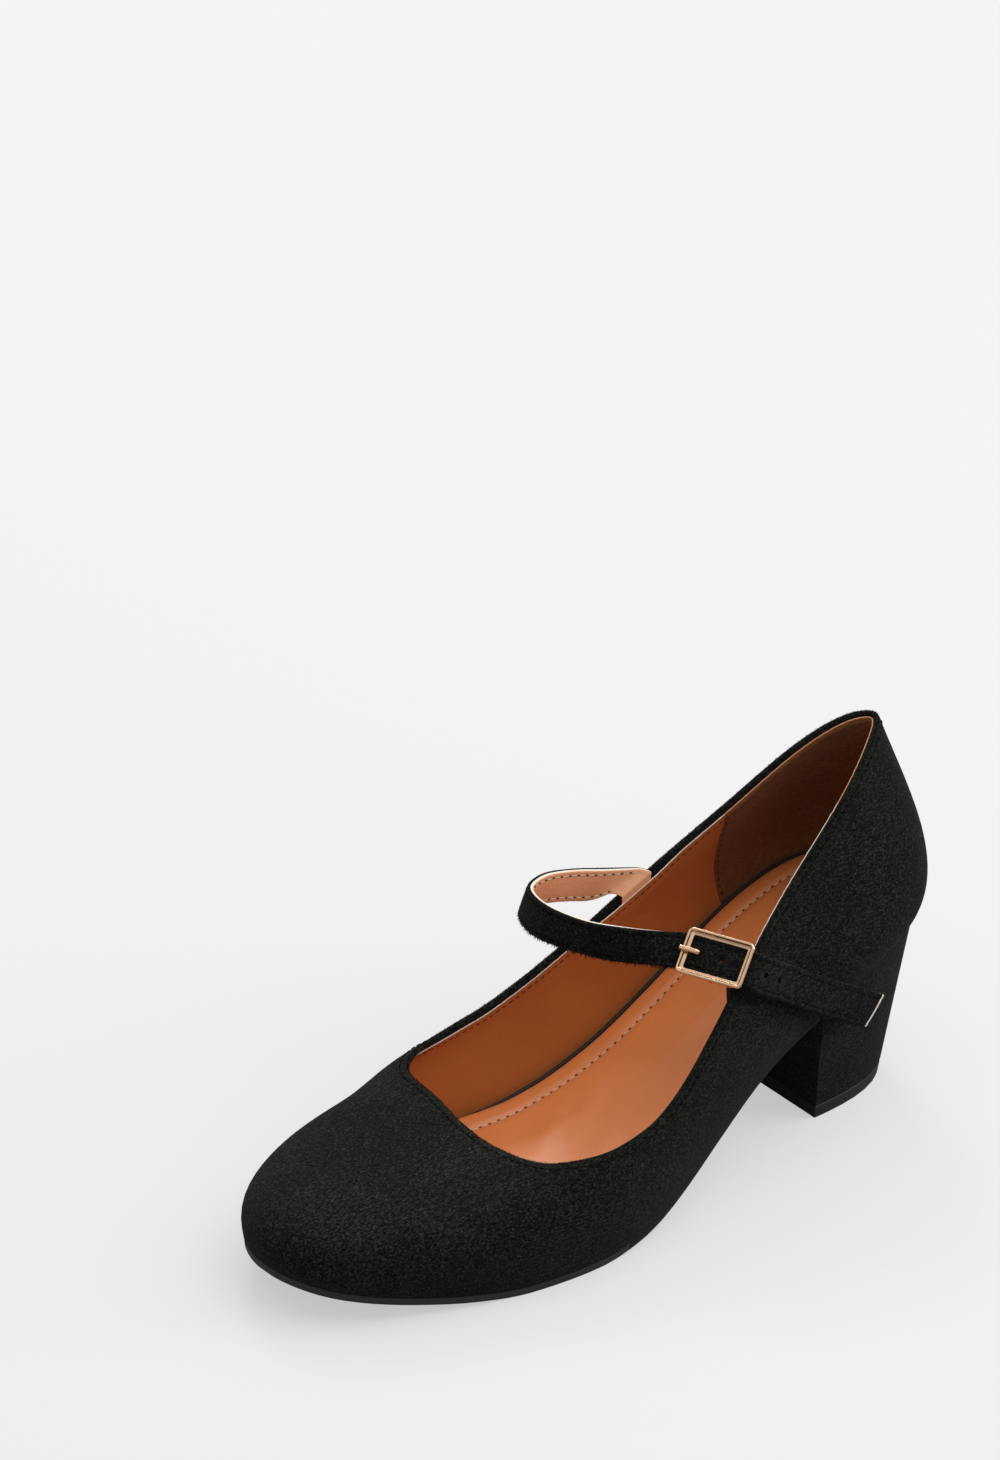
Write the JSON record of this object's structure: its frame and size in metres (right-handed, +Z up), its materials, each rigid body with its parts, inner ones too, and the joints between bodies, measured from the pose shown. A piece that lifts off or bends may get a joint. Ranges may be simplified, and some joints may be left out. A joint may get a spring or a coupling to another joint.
{
  "type": "mary jane pump",
  "caption": "Women's round-toe suede mary jane pump for the left foot, with a slack buckled instep strap, a tan leather lining and a leaning block heel.",
  "frame": {"origin": "on the floor under the middle of the shoe's box", "axes": "+Z up, the toe points along -Y, +X is the outer side of the left foot"},
  "size_m": [0.088, 0.244, 0.1154],
  "materials": {
    "black_suede": "matt napped suede",
    "dark_rubber": "matt",
    "black_wrap": "matt",
    "tan_leather": "satin",
    "pale_gold": "polished, pale rose gold plate",
    "black_elastic": "ribbed woven elastic"
  },
  "bodies": {
    "root": {"upper": "black_suede", "outsole": "dark_rubber", "footbed": "black_wrap", "sock": "tan_leather", "heel_block": "black_suede", "top_piece": "dark_rubber", "strap": "black_suede", "buckle_frame": "pale_gold", "buckle_prong": "pale_gold", "buckle_elastic": "black_elastic"}
  },
  "joints": []
}
